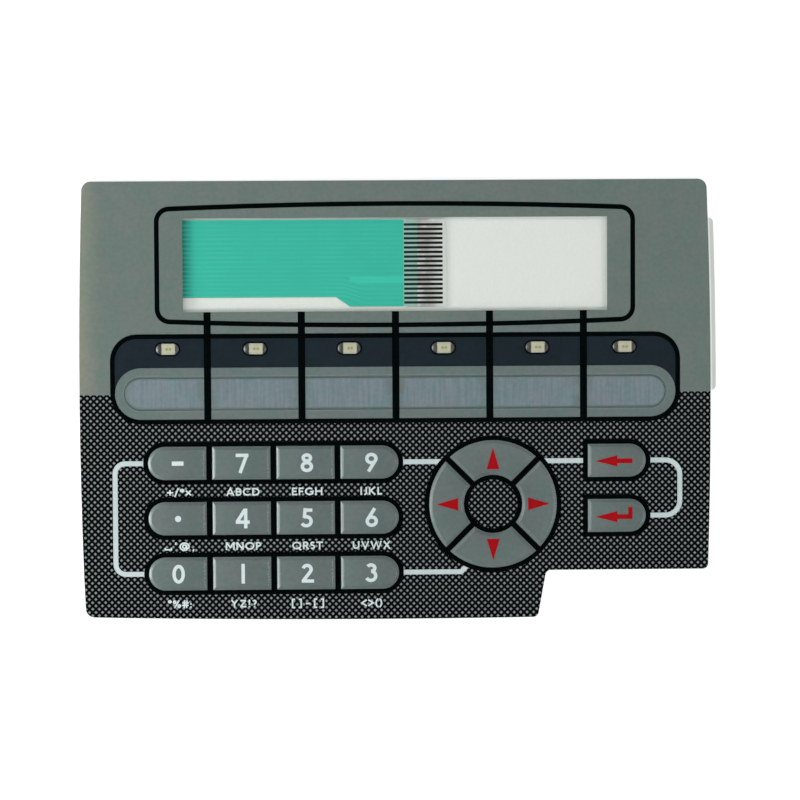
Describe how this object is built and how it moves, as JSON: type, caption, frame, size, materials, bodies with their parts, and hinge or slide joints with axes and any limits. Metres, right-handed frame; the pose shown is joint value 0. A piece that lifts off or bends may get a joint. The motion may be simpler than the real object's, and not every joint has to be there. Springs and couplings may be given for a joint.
{
  "type": "membrane keypad",
  "caption": "Flat membrane keypad with an embossed printed face film, display window, indicator lamps, snap domes, a flat circuit tail and a release liner.",
  "frame": {"origin": "middle of the panel's width and height, on the back of the release liner", "axes": "+X along the panel's width towards the command keys, +Y up the panel towards the display window, +Z out of the printed face"},
  "size_m": [0.1393, 0.096, 0.0018],
  "materials": {
    "face_film": "clear polyester, fine satin",
    "panel_grey_ink": "screen ink seen through satin film",
    "key_grey_ink": "screen ink seen through satin film",
    "function_grey_ink": "screen ink seen through satin film",
    "black_ink": "screen ink seen through satin film",
    "dotted_ink": "black screen ink with a grid of grey dots",
    "strip_ink": "screen ink seen through satin film",
    "white_ink": "screen ink seen through satin film",
    "adhesive": "clear acrylic adhesive",
    "retainer_film": "polyester film",
    "spacer_film": "polyester film",
    "circuit_film": "milky polyester film",
    "silver_print": "printed silver",
    "green_coat": "green insulating print",
    "carbon_print": "printed carbon",
    "liner": "white coated paper",
    "lamp_resin": "cream moulded resin",
    "dome_steel": "spring steel"
  },
  "bodies": {
    "root": {"overlay_film": "face_film", "print_panel_grey": "panel_grey_ink", "print_key_grey": "key_grey_ink", "print_function_grey": "function_grey_ink", "print_black": "black_ink", "print_hatch": "dotted_ink", "print_strip": "strip_ink", "print_white": "white_ink", "overlay_adhesive": "adhesive", "dome_retainer": "retainer_film", "dome_spacer": "spacer_film", "circuit_sheet": "circuit_film", "conductor_print": "silver_print", "tail_insulation": "green_coat", "tail_contacts": "carbon_print", "rear_adhesive": "adhesive", "release_liner": "liner", "led_1": "lamp_resin", "led_2": "lamp_resin", "led_3": "lamp_resin", "led_4": "lamp_resin", "led_5": "lamp_resin", "led_6": "lamp_resin", "dome_f1": "dome_steel", "dome_f2": "dome_steel", "dome_f3": "dome_steel", "dome_f4": "dome_steel", "dome_f5": "dome_steel", "dome_f6": "dome_steel", "dome_minus": "dome_steel", "dome_7": "dome_steel", "dome_8": "dome_steel", "dome_9": "dome_steel", "dome_point": "dome_steel", "dome_4": "dome_steel", "dome_5": "dome_steel", "dome_6": "dome_steel", "dome_0": "dome_steel", "dome_1": "dome_steel", "dome_2": "dome_steel", "dome_3": "dome_steel", "dome_back": "dome_steel", "dome_enter": "dome_steel", "dome_right": "dome_steel", "dome_up": "dome_steel", "dome_left": "dome_steel", "dome_down": "dome_steel"}
  },
  "joints": []
}
